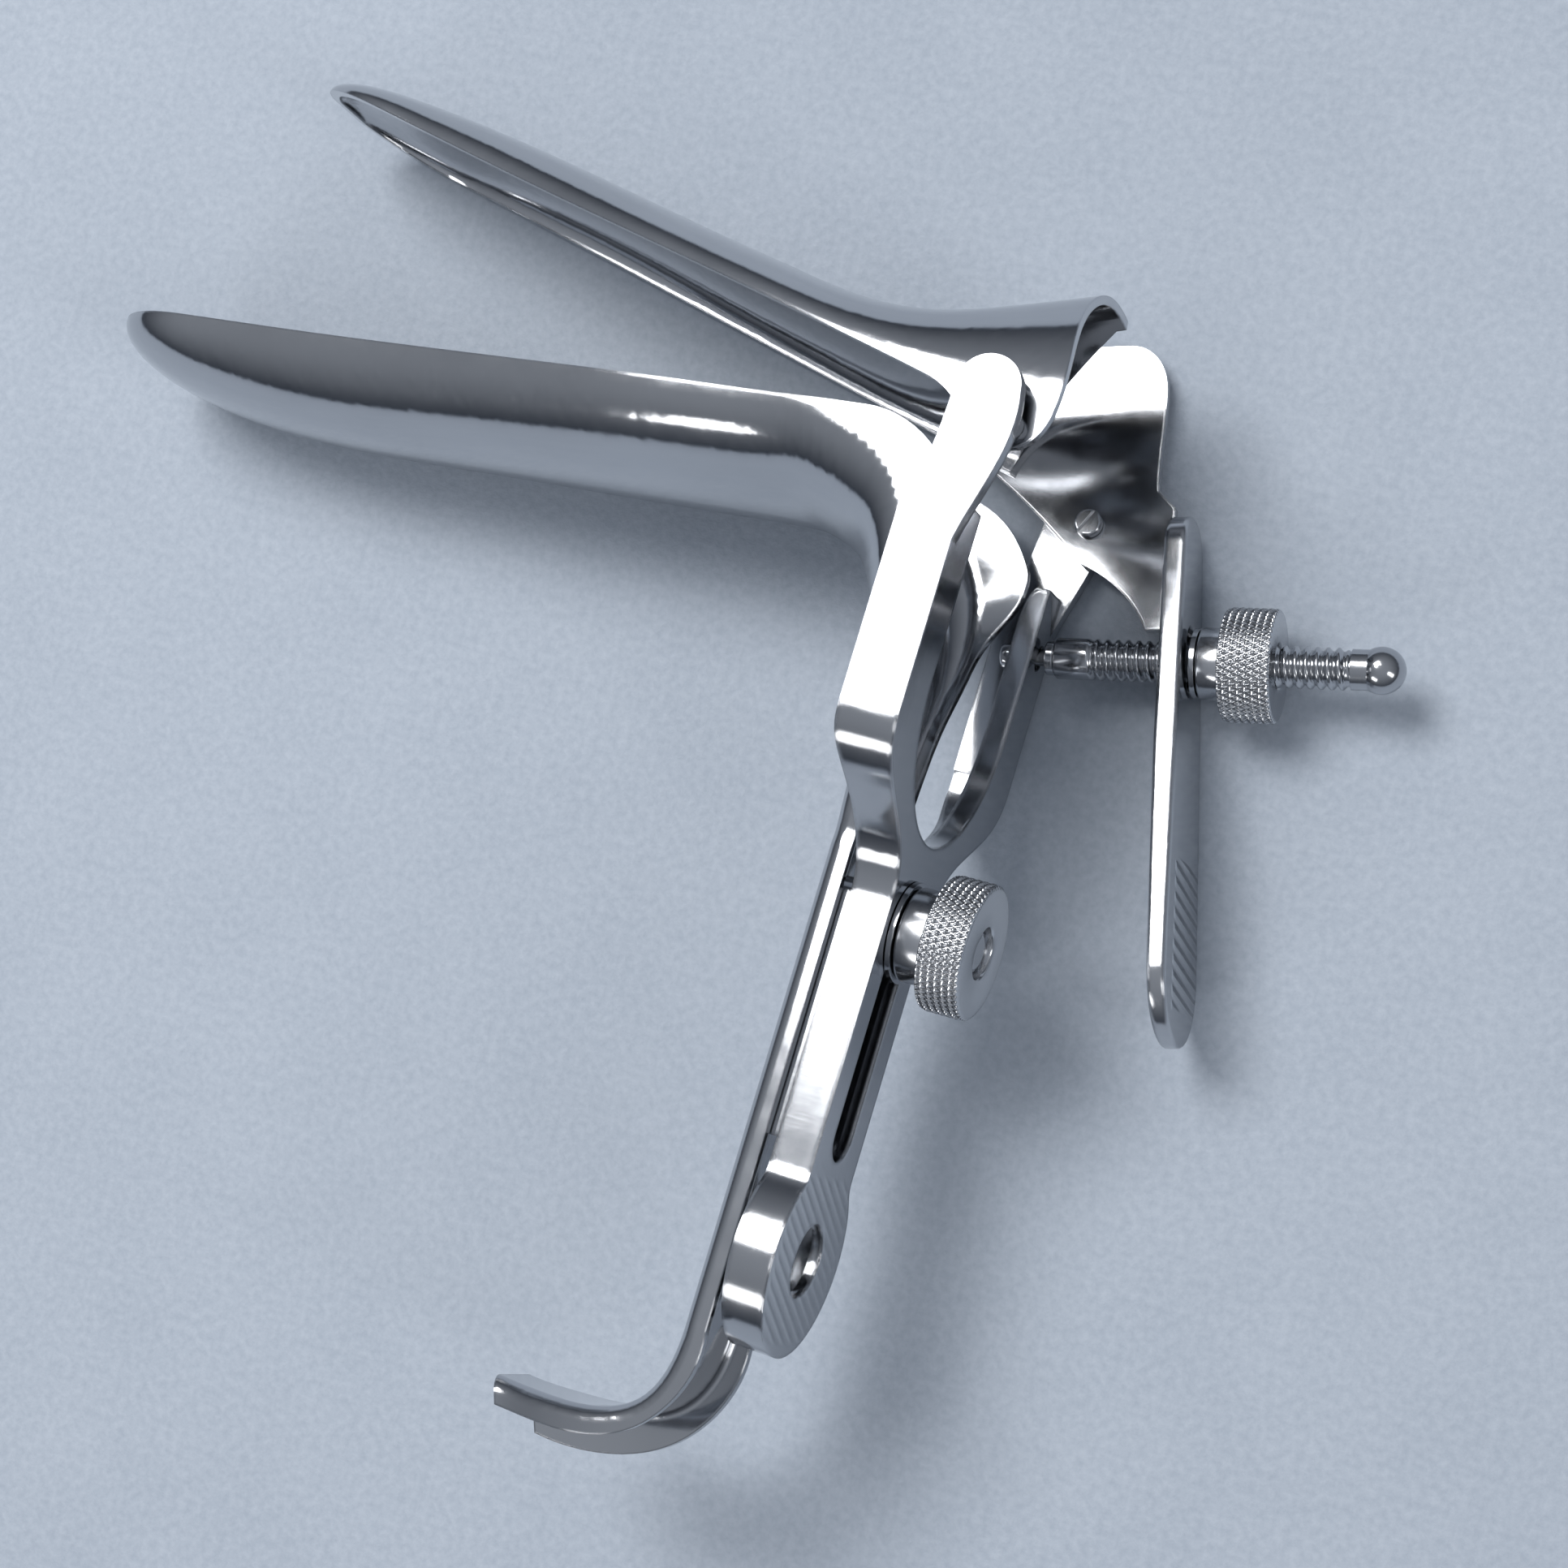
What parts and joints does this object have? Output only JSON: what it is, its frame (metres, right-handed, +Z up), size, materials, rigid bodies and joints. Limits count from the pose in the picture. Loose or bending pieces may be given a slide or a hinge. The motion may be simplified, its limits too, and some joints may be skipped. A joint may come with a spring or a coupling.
{
  "type": "bivalve speculum",
  "caption": "Bivalve speculum of bright steel: hinged trough blades, channel handle with hooked end, sliding yoke, thumb lever with screw rod, and knurled nuts.",
  "frame": {"origin": "centre of the bounding box in plan, on the surface that the instrument lies on", "axes": "+Z up off the surface; the blades point to -X, the handle to -Y; the thumb lever's side is down"},
  "size_m": [0.1682, 0.1526, 0.0485],
  "materials": {
    "blade_steel": "mirror polish with fine handling marks",
    "yoke_steel": "mirror polish with fine handling marks",
    "lever_steel": "mirror polish, ridged grip low on its rear face",
    "nut_steel": "polished hub with diamond knurled rim",
    "screw_steel": "bright turned steel",
    "rod_steel": "bright rolled thread"
  },
  "bodies": {
    "handle": {"lower_blade": "blade_steel", "handle_stud": "rod_steel"},
    "yoke": {"yoke": "yoke_steel", "near_pivot_screw": "screw_steel", "far_pivot_screw": "screw_steel", "near_pivot_spacer": "screw_steel"},
    "lock_nut": {"handle_nut": "nut_steel"},
    "lock_washer": {"handle_washer": "screw_steel"},
    "upper": {"upper_blade": "blade_steel", "side_plate": "blade_steel", "thumb_lever": "lever_steel"},
    "rod": {"screw_rod": "rod_steel", "rod_collar": "screw_steel", "rod_ball": "rod_steel"},
    "rod_carrier": {"rod_washer": "screw_steel"},
    "nut": {"rod_nut": "nut_steel"}
  },
  "joints": [
    {"name": "yoke_slide", "type": "slide", "parent": "handle", "child": "yoke", "axis": [0.0033, 0.9973, -0.0728], "range_m": [-0.0018, 0.022]},
    {"name": "lock_travel", "type": "slide", "parent": "handle", "child": "lock_washer", "axis": [0.996, 0.0033, 0.0891], "range_m": [-0.00004, 0.0016]},
    {"name": "lock_nut_turn", "type": "hinge", "parent": "lock_washer", "child": "lock_nut", "pos_m": [0.03942, -0.00848, 0.0274], "axis": [0.996, 0.0033, 0.0891], "range_deg": [-20, 720]},
    {"name": "blade_fold", "type": "hinge", "parent": "yoke", "child": "upper", "pos_m": [0.04089, 0.04618, 0.02353], "axis": [-0.0891, 0.0728, 0.9934], "range_deg": [-12, 15.5]},
    {"name": "rod_swing", "type": "hinge", "parent": "yoke", "child": "rod", "pos_m": [0.04054, 0.02743, 0.00564], "axis": [-0.0891, 0.0728, 0.9934], "range_deg": [-14, 14]},
    {"name": "nut_travel", "type": "slide", "parent": "rod", "child": "rod_carrier", "axis": [0.979, 0.1901, 0.0739], "range_m": [-0.00375, 0.0048]},
    {"name": "nut_turn", "type": "hinge", "parent": "rod_carrier", "child": "nut", "pos_m": [0.04054, 0.02743, 0.00564], "axis": [0.979, 0.1901, 0.0739], "range_deg": [-1080, 1382.4]}
  ],
  "couplings": [
    {"joint": "lock_nut_turn", "follows": "lock_travel", "rad_per_m": 7854},
    {"joint": "rod_swing", "follows": "blade_fold", "ratio": 0.7},
    {"joint": "nut_travel", "follows": "blade_fold", "m_per_rad": 0.0176},
    {"joint": "nut_turn", "follows": "blade_fold", "ratio": 88.467}
  ]
}
